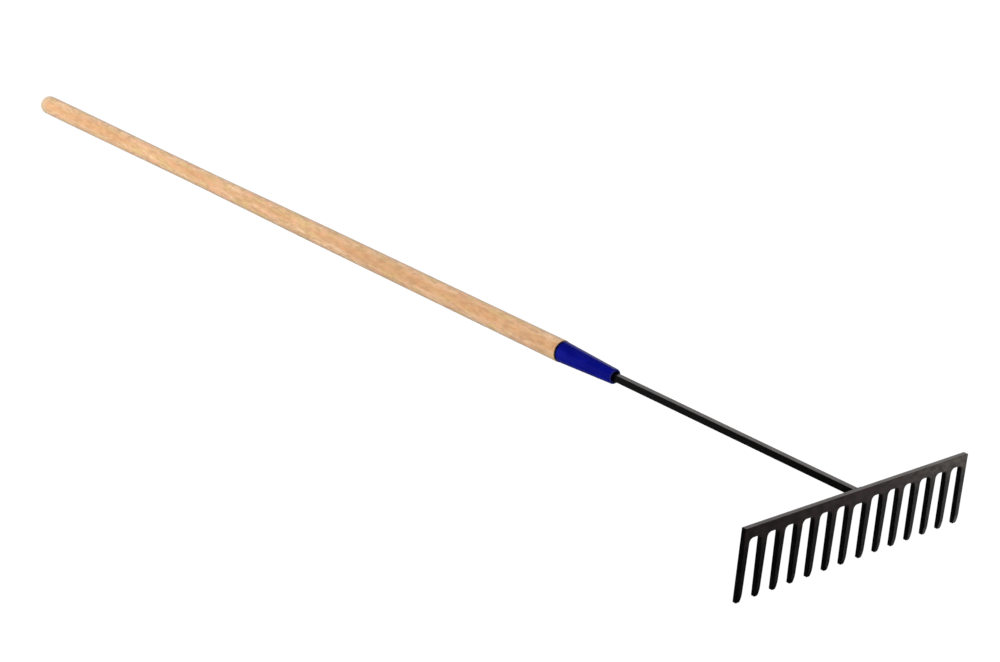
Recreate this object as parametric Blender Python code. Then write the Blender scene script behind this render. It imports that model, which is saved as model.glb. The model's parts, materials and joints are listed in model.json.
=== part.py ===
"""Asphalt rake: a toothed steel head on a square steel shank with a long wooden handle.

Blender 4.5, metres, +Z up. The rake lies as it is left on the ground, on the tips of its tines
and the butt of its handle, with the handle running towards +Y and the head's front towards -Y.

The pieces are drawn in the tool's own frame: X runs along the head, Y runs from the head's front
face back along the shank, and Z = 0 is the head's top edge. Every piece hangs on the empty
"rake", which lays the tool on the ground plane at the end.
"""

import math

import bmesh
import bpy
from mathutils import Matrix, Vector

# Head: one flat steel plate with tines cut into it
HEAD_WIDTH = 0.4064
HEAD_HEIGHT = 0.0966
HEAD_THICKNESS = 0.0071
BAR_DEPTH = 0.0141
TINE_PAIRS = 7
TINE_ROOT_WIDTH = 0.0102
TINE_TIP_WIDTH = 0.0065
END_TINE_ROOT_WIDTH = 0.0092
MIDDLE_GAP_EXTRA = 0.0021
GAP_CORNER_RADIUS = 0.0060
TINE_TIP_RADIUS = 0.0020
HEAD_CORNER_RADIUS = 0.0008
TIP_GRIND_HEIGHT = 0.0143
TIP_GRIND_DEPTH = 0.0024

# Shank: square bar welded to the back of the head, with a tapered tang driven into the handle
SHANK_SIZE = 0.009525
SHANK_CORNER_RADIUS = 0.0008
SHANK_DROP = 0.0027
SHANK_EXPOSED_LENGTH = 0.4212
TANG_LENGTH = 0.1300
TANG_TIP_SIZE = 0.0040
WELD_LEG = 0.0042
WELD_MARGIN = 0.0016
WELD_PROFILE = ((0.0, 0.0), (0.0, 1.0), (0.3, 0.86), (0.6, 0.55), (1.0, 0.1), (1.0, 0.0))

# Ferrule: tapered steel sleeve whose mouth is turned in round the shank
FERRULE_LENGTH = 0.1055
FERRULE_WALL = 0.0012
FERRULE_RIM_RADIUS = 0.0004
MOUTH_CLEARANCE = 0.0020
MOUTH_TURN_IN = 0.0020
MOUTH_TURN_RADIUS = 0.0038

# Handle: turned wood with a nose inside the ferrule, a slight waist and a domed butt
HANDLE_DIAMETER = 0.03175
HANDLE_LENGTH = 1.3673
WAIST_NARROWING = 0.00255
WAIST_FROM_BUTT = 0.470
WAIST_TAPER_LENGTH = 0.420
BUTT_SWELL_LENGTH = 0.400
BUTT_DOME_LENGTH = 0.0150
SHOULDER_STEP = 0.0006
SHOULDER_RADIUS = 0.0004
NOSE_SETBACK = 0.0080

# Pin: holds ferrule, handle and tang together, driven in from below
PIN_DIAMETER = 0.0032
PIN_FROM_MOUTH = 0.0320
PIN_BITE = 0.0030
PIN_POINT_LENGTH = 0.0010
PIN_POINT_DIAMETER = 0.0022
PIN_HEAD_DIAMETER = 0.0048
PIN_HEAD_HEIGHT = 0.0006

# Gap left between touching pieces
FIT_GAP = 0.0003

# Facets, and the angle past which an edge is left sharp
ROUND_SEGMENTS = 48
PIN_SEGMENTS = 20
CORNER_STEPS = 6
TIP_STEPS = 4
BAR_CORNER_STEPS = 2
WELD_CORNER_STEPS = 4
GRIND_STEPS = 5
MOUTH_TURN_STEPS = 5
TAPER_STEPS = 8
DOME_STEPS = 6
PIN_DOME_STEPS = 3
DOME_SWEEP = math.radians(85.0)
SHARP_ANGLE = math.radians(35.0)

# Places worked out from the sizes above
SHANK_Z = -SHANK_DROP - SHANK_SIZE / 2
SHANK_START_Y = HEAD_THICKNESS + FIT_GAP
MOUTH_Y = HEAD_THICKNESS + SHANK_EXPOSED_LENGTH
FERRULE_END_Y = MOUTH_Y + FERRULE_LENGTH
MIDDLE_BAR_DEPTH = SHANK_DROP + SHANK_SIZE + WELD_LEG + WELD_MARGIN
SHANK_CORNER_REACH = SHANK_SIZE / 2 * math.sqrt(2)
MOUTH_RADIUS = SHANK_CORNER_REACH + MOUTH_CLEARANCE
SMALL_END_RADIUS = MOUTH_RADIUS + MOUTH_TURN_IN
MOUTH_TURN_ANGLE = math.acos(1 - MOUTH_TURN_IN / MOUTH_TURN_RADIUS)
MOUTH_TURN_LENGTH = MOUTH_TURN_RADIUS * math.sin(MOUTH_TURN_ANGLE)
LARGE_END_RADIUS = HANDLE_DIAMETER / 2 - SHOULDER_STEP
SHOULDER_Y = FERRULE_END_Y + FIT_GAP
NOSE_Y = MOUTH_Y + NOSE_SETBACK
BUTT_Y = SHOULDER_Y + HANDLE_LENGTH
DOME_Y = BUTT_Y - BUTT_DOME_LENGTH
TANG_START_Y = NOSE_Y
TANG_END_Y = TANG_START_Y + TANG_LENGTH
PIN_Y = MOUTH_Y + PIN_FROM_MOUTH
TINE_PITCH = (HEAD_WIDTH / 2 - END_TINE_ROOT_WIDTH + TINE_ROOT_WIDTH / 2 - MIDDLE_GAP_EXTRA / 2) / (
    TINE_PAIRS - 0.5
)


def clear_scene():
    """Remove the objects that the file opened with."""
    for obj in list(bpy.data.objects):
        bpy.data.objects.remove(obj, do_unlink=True)


def make_material(name, color, roughness, metallic=0.0):
    """Plain Principled material with the piece's own colour."""
    material = bpy.data.materials.new(name)
    material.use_nodes = True
    shader = material.node_tree.nodes["Principled BSDF"]
    shader.inputs["Base Color"].default_value = (*color, 1.0)
    shader.inputs["Roughness"].default_value = roughness
    shader.inputs["Metallic"].default_value = metallic
    material.diffuse_color = (*color, 1.0)
    return material


def add_object(name, mesh_builder, material=None):
    """Turn a finished bmesh into a named object with outward faces, smooth where it is round."""
    bmesh.ops.recalc_face_normals(mesh_builder, faces=mesh_builder.faces)
    mesh = bpy.data.meshes.new(name)
    mesh_builder.to_mesh(mesh)
    mesh_builder.free()
    mesh.shade_smooth()
    mesh.set_sharp_from_angle(angle=SHARP_ANGLE)
    if material is not None:
        mesh.materials.append(material)
    obj = bpy.data.objects.new(name, mesh)
    bpy.context.scene.collection.objects.link(obj)
    return obj


def loft(rings, closed=False):
    """Skin a row of point rings. A closed row joins its last ring to its first, with no ends."""
    builder = bmesh.new()
    loops = [[builder.verts.new(point) for point in ring] for ring in rings]
    pairs = list(zip(loops, loops[1:]))
    if closed:
        pairs.append((loops[-1], loops[0]))
    for first, second in pairs:
        count = len(first)
        for i in range(count):
            j = (i + 1) % count
            builder.faces.new((first[i], first[j], second[j], second[i]))
    if not closed:
        builder.faces.new(loops[0])
        builder.faces.new(loops[-1])
    return builder


def circle_ring(y, radius, segments=ROUND_SEGMENTS):
    """Ring round the shank's axis, with a point straight below the axis."""
    angles = [2 * math.pi * i / segments for i in range(segments)]
    return [Vector((radius * math.sin(a), y, SHANK_Z - radius * math.cos(a))) for a in angles]


def upright_ring(z, radius, segments=PIN_SEGMENTS):
    """Ring round the pin's upright axis."""
    angles = [2 * math.pi * i / segments for i in range(segments)]
    return [Vector((radius * math.cos(a), PIN_Y + radius * math.sin(a), z)) for a in angles]


def bar_ring(y, half_width, below, above, corner_radius, steps=BAR_CORNER_STEPS):
    """Rounded rectangle round the shank's axis: so far to each side, below and above it."""
    points = []
    corners = (
        (half_width, above, 0.0),
        (-half_width, above, 90.0),
        (-half_width, -below, 180.0),
        (half_width, -below, 270.0),
    )
    for x, z, start in corners:
        centre_x = x - math.copysign(corner_radius, x)
        centre_z = z - math.copysign(corner_radius, z)
        for i in range(steps + 1):
            angle = math.radians(start + 90.0 * i / steps)
            point_x = centre_x + corner_radius * math.cos(angle)
            point_z = centre_z + corner_radius * math.sin(angle)
            points.append(Vector((point_x, y, SHANK_Z + point_z)))
    return points


def square_ring(y, size, corner_radius):
    """Square section of the shank or tang."""
    return bar_ring(y, size / 2, size / 2, size / 2, corner_radius)


def rounded_corner(before, corner, after, radius, steps):
    """Arc of the given radius that replaces one corner of a flat outline."""
    to_before = (before - corner).normalized()
    to_after = (after - corner).normalized()
    half_angle = to_before.angle(to_after) / 2
    setback = radius / math.tan(half_angle)
    middle = (to_before + to_after).normalized()
    centre = corner + middle * (radius / math.sin(half_angle))
    start = corner + to_before * setback - centre
    sweep = start.angle_signed(corner + to_after * setback - centre)
    return [centre + Matrix.Rotation(-sweep * i / steps, 2) @ start for i in range(steps + 1)]


def tine_centre(index):
    """Distance along the head of a tine's centre line, counted from the -X end."""
    place = index - (TINE_PAIRS - 0.5)
    return place * TINE_PITCH + math.copysign(MIDDLE_GAP_EXTRA / 2, place)


def tine_edges(index, z):
    """Left and right edge of a tine at a height: the two end tines are flush with the head."""
    share = (-BAR_DEPTH - z) / (HEAD_HEIGHT - BAR_DEPTH)
    half = (TINE_ROOT_WIDTH + (TINE_TIP_WIDTH - TINE_ROOT_WIDTH) * share) / 2
    left = tine_centre(index) - half
    right = tine_centre(index) + half
    if index == 0:
        left = -HEAD_WIDTH / 2
    if index == 2 * TINE_PAIRS - 1:
        right = HEAD_WIDTH / 2
    return left, right


def head_corners():
    """Corners of the plate in X and Z with the radius and arc steps of each, anticlockwise."""
    tines = 2 * TINE_PAIRS
    corners = [(-HEAD_WIDTH / 2, 0.0, HEAD_CORNER_RADIUS, 1)]
    for index in range(tines):
        left, right = tine_edges(index, -HEAD_HEIGHT)
        corners.append((left, -HEAD_HEIGHT, TINE_TIP_RADIUS, TIP_STEPS))
        corners.append((right, -HEAD_HEIGHT, TINE_TIP_RADIUS, TIP_STEPS))
        if index == tines - 1:
            break
        depth = MIDDLE_BAR_DEPTH if index == TINE_PAIRS - 1 else BAR_DEPTH
        gap_left = tine_edges(index, -depth)[1]
        gap_right = tine_edges(index + 1, -depth)[0]
        corners.append((gap_left, -depth, GAP_CORNER_RADIUS, CORNER_STEPS))
        corners.append((gap_right, -depth, GAP_CORNER_RADIUS, CORNER_STEPS))
    corners.append((HEAD_WIDTH / 2, 0.0, HEAD_CORNER_RADIUS, 1))
    return corners


def head_outline():
    """Outline of the plate with all its corners rounded."""
    corners = head_corners()
    places = [Vector(corner[:2]) for corner in corners]
    points = []
    for i, (_, _, radius, steps) in enumerate(corners):
        following = places[(i + 1) % len(places)]
        points += rounded_corner(places[i - 1], places[i], following, radius, steps)
    return points


def build_head(material):
    """Plate with tines whose tips are ground back on the front face."""
    builder = bmesh.new()
    face = builder.faces.new([builder.verts.new((p.x, 0.0, p.y)) for p in head_outline()])
    extruded = bmesh.ops.extrude_face_region(builder, geom=[face])
    moved = [item for item in extruded["geom"] if isinstance(item, bmesh.types.BMVert)]
    bmesh.ops.translate(builder, verts=moved, vec=(0.0, HEAD_THICKNESS, 0.0))
    grind_start = TIP_GRIND_HEIGHT - HEAD_HEIGHT
    for i in range(GRIND_STEPS):
        level = Vector((0.0, 0.0, grind_start - TIP_GRIND_HEIGHT * i / GRIND_STEPS))
        geometry = builder.verts[:] + builder.edges[:] + builder.faces[:]
        bmesh.ops.bisect_plane(builder, geom=geometry, plane_co=level, plane_no=(0.0, 0.0, 1.0))
    for vert in builder.verts:
        if vert.co.y < HEAD_THICKNESS / 2 and vert.co.z < grind_start:
            share = (grind_start - vert.co.z) / TIP_GRIND_HEIGHT
            vert.co.y = TIP_GRIND_DEPTH * share * share
    ground = [face for face in builder.faces if face.calc_center_median().z < grind_start]
    bmesh.ops.triangulate(builder, faces=ground)
    return add_object("head", builder, material)


def tang_size(y):
    """Side of the square tang at a distance along the tool."""
    share = (y - TANG_START_Y) / TANG_LENGTH
    return SHANK_SIZE + (TANG_TIP_SIZE - SHANK_SIZE) * share


def tang_rings(clearance):
    """Sections of the tang, grown on every side by a clearance. They run clear of its two ends."""
    start = TANG_START_Y - clearance
    end = TANG_END_Y + clearance
    return [
        square_ring(y, tang_size(y) + 2 * clearance, SHANK_CORNER_RADIUS + clearance)
        for y in (start, end)
    ]


def pin_hole_cutter(name, bottom, top):
    """Upright cylinder with the pin's clearance, used only to cut."""
    radius = PIN_DIAMETER / 2 + FIT_GAP
    cutter = add_object(name, loft([upright_ring(bottom, radius), upright_ring(top, radius)]))
    hide_cutter(cutter)
    return cutter


def hide_cutter(cutter):
    """Mark an object as a tool that cuts and doesn't show."""
    cutter.hide_render = True
    cutter.display_type = "WIRE"


def cut(obj, cutter):
    """Take the cutter's shape out of an object."""
    modifier = obj.modifiers.new(cutter.name, "BOOLEAN")
    modifier.operation = "DIFFERENCE"
    modifier.solver = "EXACT"
    modifier.object = cutter


def ferrule_radius(y):
    """Outer radius of the ferrule's straight taper at a distance along the tool."""
    taper_start = MOUTH_Y + MOUTH_TURN_LENGTH
    share = (y - taper_start) / (FERRULE_END_Y - taper_start)
    return SMALL_END_RADIUS + (LARGE_END_RADIUS - SMALL_END_RADIUS) * share


def mouth_turn(wall_offset):
    """Arc that turns the ferrule's mouth in, from the taper to the lip, offset inwards by a wall."""
    centre_y = MOUTH_Y + MOUTH_TURN_LENGTH
    centre_radius = SMALL_END_RADIUS - MOUTH_TURN_RADIUS
    reach = MOUTH_TURN_RADIUS - wall_offset
    points = []
    for i in range(MOUTH_TURN_STEPS + 1):
        angle = MOUTH_TURN_ANGLE * i / MOUTH_TURN_STEPS
        points.append((centre_y - reach * math.sin(angle), centre_radius + reach * math.cos(angle)))
    return points


def build_ferrule(material):
    """Tapered sleeve, open at both ends, as one turned wall."""
    rim = FERRULE_RIM_RADIUS
    inner = [(FERRULE_END_Y, ferrule_radius(FERRULE_END_Y) - FERRULE_WALL)]
    outer = [
        (FERRULE_END_Y, ferrule_radius(FERRULE_END_Y) - rim),
        (FERRULE_END_Y - rim, ferrule_radius(FERRULE_END_Y - rim)),
    ]
    profile = outer + mouth_turn(0.0) + mouth_turn(FERRULE_WALL)[::-1] + inner
    ferrule = add_object("ferrule", loft([circle_ring(y, r) for y, r in profile], closed=True), material)
    reach = ferrule_radius(PIN_Y) + FERRULE_WALL
    cut(ferrule, pin_hole_cutter("ferrule_pin_hole", SHANK_Z - reach, SHANK_Z))
    return ferrule


def build_shank(material):
    """Square bar with the tang at its far end and a cross hole for the pin."""
    bar = square_ring(SHANK_START_Y, SHANK_SIZE, SHANK_CORNER_RADIUS)
    shank = add_object("shank", loft([bar] + tang_rings(0.0)), material)
    cut(shank, pin_hole_cutter("shank_pin_hole", SHANK_Z - SHANK_SIZE, SHANK_Z + SHANK_SIZE))
    return shank


def build_weld(material):
    """Fillet bead round the end of the shank. Above the shank it stops at the head's top edge."""
    bore = SHANK_SIZE / 2 + FIT_GAP
    upper_leg = min(WELD_LEG, SHANK_DROP) - FIT_GAP
    rings = []
    for along, out in WELD_PROFILE:
        side = bore + WELD_LEG * out
        above = bore + upper_leg * out
        radius = SHANK_CORNER_RADIUS + FIT_GAP + WELD_LEG * out
        y = SHANK_START_Y + WELD_LEG * along
        rings.append(bar_ring(y, side, side, above, radius, WELD_CORNER_STEPS))
    return add_object("shank_weld", loft(rings, closed=True), material)


def smooth_step(share):
    """Ease from 0 to 1 with level ends."""
    share = min(max(share, 0.0), 1.0)
    return share * share * (3 - 2 * share)


def handle_radius(y):
    """Radius of the grip at a distance along the tool: straight, waisted, then swelling."""
    waist_y = BUTT_Y - WAIST_FROM_BUTT
    if y < waist_y:
        share = smooth_step((y - waist_y) / WAIST_TAPER_LENGTH + 1)
    else:
        share = 1 - smooth_step((y - waist_y) / BUTT_SWELL_LENGTH)
    return (HANDLE_DIAMETER - WAIST_NARROWING * share) / 2


def nose_radius(y):
    """Radius of the handle's nose, which fits the inside of the ferrule."""
    return ferrule_radius(y) - FERRULE_WALL - FIT_GAP


def handle_profile():
    """Distances and radii of the turned handle, from its nose to the top of its dome."""
    waist_y = BUTT_Y - WAIST_FROM_BUTT
    taper_y = waist_y - WAIST_TAPER_LENGTH
    profile = [(NOSE_Y, nose_radius(NOSE_Y)), (SHOULDER_Y, nose_radius(SHOULDER_Y))]
    profile.append((SHOULDER_Y, HANDLE_DIAMETER / 2 - SHOULDER_RADIUS))
    profile.append((SHOULDER_Y + SHOULDER_RADIUS, HANDLE_DIAMETER / 2))
    stations = [taper_y + WAIST_TAPER_LENGTH * i / TAPER_STEPS for i in range(TAPER_STEPS + 1)]
    stations += [waist_y + BUTT_SWELL_LENGTH * i / TAPER_STEPS for i in range(1, TAPER_STEPS + 1)]
    profile += [(y, handle_radius(y)) for y in stations + [DOME_Y]]
    for i in range(1, DOME_STEPS + 1):
        angle = DOME_SWEEP * i / DOME_STEPS
        y = DOME_Y + BUTT_DOME_LENGTH * math.sin(angle) / math.sin(DOME_SWEEP)
        profile.append((y, HANDLE_DIAMETER / 2 * math.cos(angle)))
    return profile


def build_handle(material):
    """Turned handle with the tang's bore and the pin's hole."""
    handle = add_object("handle", loft([circle_ring(y, r) for y, r in handle_profile()]), material)
    rings = tang_rings(FIT_GAP)
    mouth = square_ring(NOSE_Y - NOSE_SETBACK, SHANK_SIZE + 2 * FIT_GAP, SHANK_CORNER_RADIUS + FIT_GAP)
    bore = add_object("tang_bore", loft([mouth] + rings))
    hide_cutter(bore)
    cut(handle, bore)
    bottom = SHANK_Z - ferrule_radius(PIN_Y)
    cut(handle, pin_hole_cutter("handle_pin_hole", bottom, pin_top() + FIT_GAP))
    return handle


def pin_top():
    """Height of the pin's inner end, a short way into the wood above the tang."""
    return SHANK_Z + tang_size(PIN_Y) / 2 + FIT_GAP + PIN_BITE


def build_pin(material):
    """Low-headed pin driven up through ferrule, handle and tang."""
    seat = SHANK_Z - ferrule_radius(PIN_Y + PIN_HEAD_DIAMETER / 2) - FIT_GAP
    radius = PIN_DIAMETER / 2
    profile = [(pin_top(), PIN_POINT_DIAMETER / 2), (pin_top() - PIN_POINT_LENGTH, radius), (seat, radius)]
    for i in range(PIN_DOME_STEPS + 1):
        angle = DOME_SWEEP * i / PIN_DOME_STEPS
        z = seat - PIN_HEAD_HEIGHT * math.sin(angle)
        profile.append((z, PIN_HEAD_DIAMETER / 2 * math.cos(angle)))
    return add_object("ferrule_pin", loft([upright_ring(z, r) for z, r in profile]), material)


def lay_on_ground(rake, pieces):
    """Tip the tool until tine tips and butt share the ground, and centre its box on the origin."""
    rise = HEAD_HEIGHT + SHANK_Z
    run = DOME_Y - HEAD_THICKNESS
    droop = math.atan2(rise, run) - math.asin(HANDLE_DIAMETER / 2 / math.hypot(rise, run))
    turn = Matrix.Rotation(-droop, 4, "X")
    corners = [turn @ vert.co for piece in pieces for vert in piece.data.vertices]
    lowest = min(corner.z for corner in corners)
    nearest = min(corner.y for corner in corners)
    farthest = max(corner.y for corner in corners)
    rake.rotation_euler = (-droop, 0.0, 0.0)
    rake.location = (0.0, -(nearest + farthest) / 2, -lowest)


def build_rake():
    """Make every piece and lay the tool down."""
    clear_scene()
    wood = make_material("ash_wood", (0.80, 0.57, 0.33), 0.45)
    blue = make_material("blue_enamel", (0.010, 0.014, 0.24), 0.25)
    black = make_material("black_paint", (0.022, 0.020, 0.020), 0.42)
    bead = make_material("painted_weld", (0.026, 0.024, 0.024), 0.5)
    steel = make_material("pin_steel", (0.30, 0.30, 0.31), 0.4, 1.0)
    pieces = [
        build_head(black),
        build_shank(black.copy()),
        build_weld(bead),
        build_ferrule(blue),
        build_handle(wood),
        build_pin(steel),
    ]
    rake = bpy.data.objects.new("rake", None)
    bpy.context.scene.collection.objects.link(rake)
    cutters = [obj for obj in bpy.data.objects if obj.hide_render]
    for obj in pieces + cutters:
        obj.parent = rake
    lay_on_ground(rake, pieces)


build_rake()
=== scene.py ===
"""Looks of the asphalt rake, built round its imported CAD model. Blender 4.5, metres, +Z up.

Every visible piece is a finer mesh that stands for one CAD node. The pieces are drawn in the
tool's own frame: X along the head, Y from the head's front face back along the shank, and Z = 0
at the head's top edge. That frame and the main sizes are measured from the CAD nodes.
"""

import json
import math

import bmesh
import bpy
import numpy as np
from mathutils import Matrix, Vector, noise


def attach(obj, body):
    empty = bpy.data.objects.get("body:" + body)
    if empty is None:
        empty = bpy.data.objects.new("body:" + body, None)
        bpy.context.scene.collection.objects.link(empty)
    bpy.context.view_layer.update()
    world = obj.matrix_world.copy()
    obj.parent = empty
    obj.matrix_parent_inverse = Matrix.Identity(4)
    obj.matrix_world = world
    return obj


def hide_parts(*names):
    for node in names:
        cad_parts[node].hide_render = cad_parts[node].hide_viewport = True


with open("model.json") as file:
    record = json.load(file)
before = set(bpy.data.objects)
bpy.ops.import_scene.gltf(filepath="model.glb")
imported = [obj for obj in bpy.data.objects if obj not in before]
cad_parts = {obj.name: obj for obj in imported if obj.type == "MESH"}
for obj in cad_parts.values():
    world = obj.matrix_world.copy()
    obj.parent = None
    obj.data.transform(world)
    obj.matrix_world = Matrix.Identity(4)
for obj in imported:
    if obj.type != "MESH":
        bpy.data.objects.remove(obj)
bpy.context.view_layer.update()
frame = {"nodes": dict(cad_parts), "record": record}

# Head: the sizes that its box doesn't give
BAR_DEPTH = 0.0141
MIDDLE_BAR_DEPTH = 0.0180
TINE_PAIRS = 7
TINE_ROOT_WIDTH = 0.0102
TINE_TIP_WIDTH = 0.0065
END_TINE_ROOT_WIDTH = 0.0092
MIDDLE_GAP_EXTRA = 0.0021
GAP_CORNER_RADIUS = 0.0060
TINE_TIP_RADIUS = 0.0020
HEAD_CORNER_RADIUS = 0.0009
TIP_GRIND_HEIGHT = 0.0143
TIP_GRIND_DEPTH = 0.0024
PLATE_EDGE_RADIUS = 0.0006
PLATE_FACE_INSET = 0.00003

# Shank and weld
SHANK_SIZE = 0.009525
SHANK_CORNER_RADIUS = 0.0008
TANG_TIP_SIZE = 0.0040
TANG_LENGTH = 0.1300
WELD_RIPPLE_PITCH = 0.0013
WELD_RIPPLE_HEIGHT = 0.00016
WELD_RIPPLE_SECTIONS = 6
WELD_BULGE = 0.24
WELD_CORNER_SPREAD = 0.6
WELD_SEAT_GAP = 0.00003

# Ferrule
FERRULE_WALL = 0.0012
FERRULE_RIM_RADIUS = 0.0004
MOUTH_TURN_IN = 0.0020
MOUTH_TURN_RADIUS = 0.0038
MOUTH_TURN_ANGLE = math.acos(1 - MOUTH_TURN_IN / MOUTH_TURN_RADIUS)

# Handle
BUTT_DOME_LENGTH = 0.0150
BORE_CLEARANCE = 0.0004
HANDLE_UNEVENNESS = 0.00012
HANDLE_WAVES_PER_METRE = 14
HANDLE_RING_STEP = 0.006
GRIP_RADIUS_SHARE = 0.8
GRIP_PLACE_DIGITS = 5
GRIP_PLACE_TOLERANCE = 0.0001

# Pin
PIN_DIAMETER = 0.0032
PIN_HEAD_HEIGHT = 0.0006
PIN_POINT_LENGTH = 0.001
PIN_POINT_SHARE = 0.7

# Black paint: where rust shows through on the head, and where it grows and pales towards +X as painted
# reflection, in the tool's frame
FRONT_FACE_Y = (0.0003, 0.0009)
TOP_FACE_Z = (-0.0009, -0.0003)
RUST_FADE_Z = (-0.032, -0.012)
RUST_AND_REFLECTION_X = (-0.20, 0.05)
REFLECTION_PALER_X = (0.02, 0.19)

# Blue enamel: heights above the axis, where painted shade darkens the top, and distances from the mouth,
# for a painted highlight, and from the end at the wood, for painted shade
TOP_SHADE_START = 0.0065
TOP_SHADE_FULL = 0.0115
MOUTH_HIGHLIGHT_FULL = 0.0010
MOUTH_HIGHLIGHT_END = 0.0024
RIM_SHADE_START = 0.0050
RIM_SHADE_FULL = 0.0030

# Ash: where the tree's middle lies from the handle's axis, and how its grain runs
PITH_ASIDE = 0.060
PITH_BELOW = 0.036
RING_WIDTH = 0.0034
GRAIN_WANDER = 0.012
RING_SLANT = (math.radians(0.10), 0.0, math.radians(0.14))
FIBRE_SLANT = (math.radians(-3.0), 0.0, math.radians(1.8))

# Ash: distances from the tree's middle, from the butt and from the nose where its colour changes; the
# sides and the nose get painted shade, the grip before the butt painted sheen
DARK_BAND_DEPTH = (0.0838, 0.0859)
SIDE_SHADE_DEPTH = (0.0760, 0.0802)
END_GRAIN_SHEEN_START = 0.0330
END_GRAIN_SHEEN_FULL = 0.0150
NOSE_SHADE_FULL = 0.001
NOSE_SHADE_END = 0.003

# How high or deep the surfaces' waves, peel, furrows, pits and scratches are
PAINT_WAVES = 0.0006
PAINT_PEEL = 0.00006
ENAMEL_WAVES = 0.0003
ENAMEL_PEEL = 0.00003
ASH_FURROWS = 0.00012
ASH_PITS = 0.00010
PIN_SCRATCHES = 0.00003

# Camera: place and turn fitted to the photograph's viewing angle
CAMERA_PLACE = (-1.99552, -2.41464, 1.25268)
CAMERA_TURN_DEGREES = (67.4612, -5.9193, -40.7240)
CAMERA_REACH = 200.0
FOCAL_LENGTH_MM = 81.063
SENSOR_WIDTH_MM = 36.0

# Studio. An area light needs this power for each square metre and unit of radiance.
AREA_LIGHT_POWER = 4
SKY_SPREAD_DEGREES = 175.0
STUDIO_DIMMEST = 0.003
FLOOR_RADIUS = 60.0
BACKDROP_RADIUS = 70.0
FLOOR_GLOW = 0.97

# Facets
ROUND_SEGMENTS = 96
PIN_SEGMENTS = 48
FLOOR_SEGMENTS = 64
BACKDROP_SEGMENTS = 48
ARC_STEPS = 10
EDGE_STEPS = 3
GRIND_STEPS = 10
DOME_END_DEGREES = 88
SMOOTH_ANGLE = math.radians(40.0)
ROUND_ANGLES = [2 * math.pi * i / ROUND_SEGMENTS for i in range(ROUND_SEGMENTS)]


def node_points(name, matrix):
    """Vertices of a CAD node as an array, moved by a matrix."""
    return np.array([matrix @ vert.co for vert in frame["nodes"][name].data.vertices])


def tool_matrix():
    """Where the tool's own frame lies, from the head's top face and the head's vertices."""
    mounts = {mount["name"]: mount for mount in frame["record"]["mounts"]}
    up = Vector(mounts["head_top_face"]["axis"]).normalized()
    across = Vector((1.0, 0.0, 0.0))
    back = up.cross(across).normalized()
    turn = Matrix((across, back, up)).transposed().to_4x4()
    points = node_points("head", turn.inverted())
    corner = turn @ Vector((0.0, points[:, 1].min(), points[:, 2].max()))
    return Matrix.Translation(corner) @ turn


TOOL = tool_matrix()


def tool_span(name):
    """Lowest and highest corner of a CAD node in the tool's own frame."""
    points = node_points(name, TOOL.inverted())
    return Vector(points.min(0)), Vector(points.max(0))


HEAD_LOW, HEAD_HIGH = tool_span("head")
SHANK_HIGH = tool_span("shank")[1]
WELD_HIGH = tool_span("shank_weld")[1]
FERRULE_LOW, FERRULE_HIGH = tool_span("ferrule")
HANDLE_LOW, HANDLE_HIGH = tool_span("handle")
PIN_LOW, PIN_HIGH = tool_span("ferrule_pin")
HALF_WIDTH = HEAD_HIGH.x
HEAD_THICKNESS = HEAD_HIGH.y
HEAD_HEIGHT = -HEAD_LOW.z
AXIS_Z = (FERRULE_LOW.z + FERRULE_HIGH.z) / 2
MOUTH_Y = FERRULE_LOW.y
MOUTH_TURN_Y = MOUTH_Y + MOUTH_TURN_RADIUS * math.sin(MOUTH_TURN_ANGLE)
FERRULE_END_Y = FERRULE_HIGH.y
NOSE_Y = HANDLE_LOW.y
BUTT_Y = HANDLE_HIGH.y
TINE_SPAN = HALF_WIDTH - END_TINE_ROOT_WIDTH + TINE_ROOT_WIDTH / 2 - MIDDLE_GAP_EXTRA / 2
TINE_PITCH = TINE_SPAN / (TINE_PAIRS - 0.5)
PITH = (PITH_ASIDE, 0.0, AXIS_Z - PITH_BELOW)


def mesh_object(name, builder, material, node):
    """Finish a bmesh drawn in the tool's frame as a piece that stands for one CAD node."""
    bmesh.ops.recalc_face_normals(builder, faces=builder.faces)
    mesh = bpy.data.meshes.new(name)
    builder.to_mesh(mesh)
    builder.free()
    mesh.transform(TOOL)
    mesh.shade_smooth()
    mesh.set_sharp_from_angle(angle=SMOOTH_ANGLE)
    mesh.materials.append(material)
    piece = bpy.data.objects.new(name, mesh)
    bpy.context.scene.collection.objects.link(piece)
    normals = piece.modifiers.new("flat_faces", "WEIGHTED_NORMAL")
    normals.keep_sharp = True
    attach(piece, "root")
    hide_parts(node)


def loft(rings, closed=False):
    """Skin a row of point rings. A closed row joins its last ring to its first, with no ends."""
    builder = bmesh.new()
    loops = [[builder.verts.new(point) for point in ring] for ring in rings]
    pairs = list(zip(loops, loops[1:]))
    if closed:
        pairs.append((loops[-1], loops[0]))
    for first, second in pairs:
        count = len(first)
        for i in range(count):
            j = (i + 1) % count
            builder.faces.new((first[i], first[j], second[j], second[i]))
    if not closed:
        builder.faces.new(loops[0])
        builder.faces.new(loops[-1])
    return builder


def turned_point(y, radius, angle):
    """Point at an angle round the shank's axis."""
    return Vector((radius * math.sin(angle), y, AXIS_Z - radius * math.cos(angle)))


def turned_ring(y, radius):
    """Ring round the shank's axis, with a point straight below the axis."""
    return [turned_point(y, radius, angle) for angle in ROUND_ANGLES]


def arc(start_degrees, end_degrees, steps):
    """Evenly spaced angles from one to the other, in radians."""
    span = end_degrees - start_degrees
    return [math.radians(start_degrees + span * i / steps) for i in range(steps + 1)]


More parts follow.
